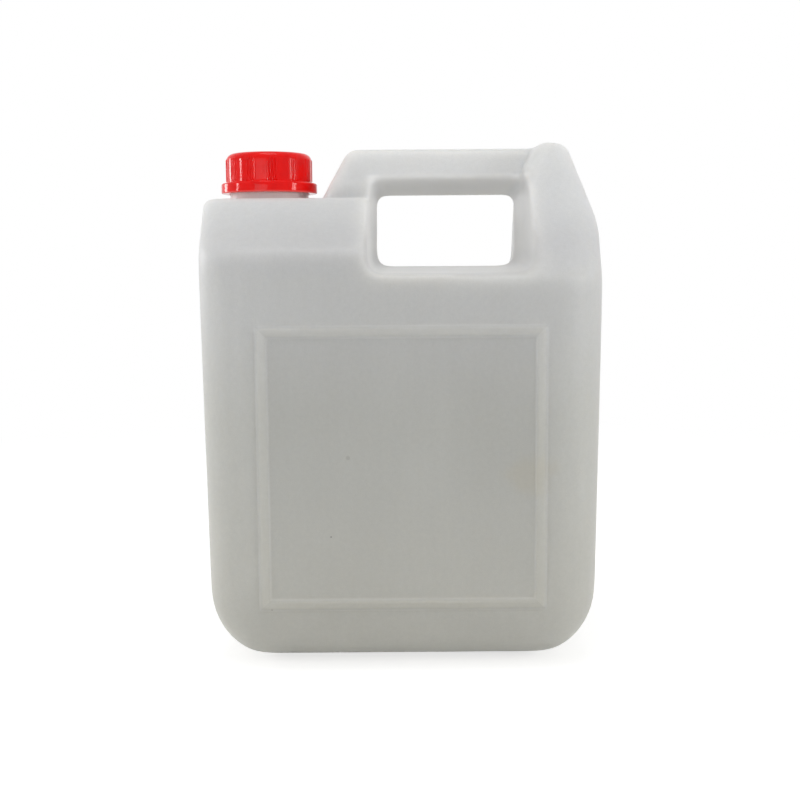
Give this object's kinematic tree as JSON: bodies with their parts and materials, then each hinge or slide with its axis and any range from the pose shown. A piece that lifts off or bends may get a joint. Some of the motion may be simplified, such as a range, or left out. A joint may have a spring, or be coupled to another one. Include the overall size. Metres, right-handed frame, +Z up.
{
  "type": "jerrycan",
  "caption": "Blow-moulded plastic jerrycan with a hollow carrying handle, a raised label frame and a ribbed screw cap.",
  "frame": {"origin": "centre of the bounding box on the surface that the base stands on", "axes": "+Z up; +X across the front from the neck towards the rear column of the handle; the front face looks along -Y"},
  "size_m": [0.1892, 0.1438, 0.2486],
  "materials": {
    "natural_hdpe": "translucent milky white, satin",
    "red_cap": "glossy red",
    "white_foam": "matt white foam"
  },
  "bodies": {
    "bottle": {"bottle": "natural_hdpe"},
    "liner": {"liner": "white_foam"},
    "cap": {"cap": "red_cap"}
  },
  "joints": [
    {"name": "cap_lift", "type": "slide", "parent": "bottle", "child": "liner", "axis": [0, 0, 1], "range_m": [0, 0.0301]},
    {"name": "cap_turn", "type": "hinge", "parent": "liner", "child": "cap", "pos_m": [-0.0659, 0, 0.235], "axis": [0, 0, 1], "range_deg": [0, 2160]}
  ],
  "couplings": [
    {"joint": "cap_lift", "follows": "cap_turn", "m_per_rad": 0.00079577}
  ]
}
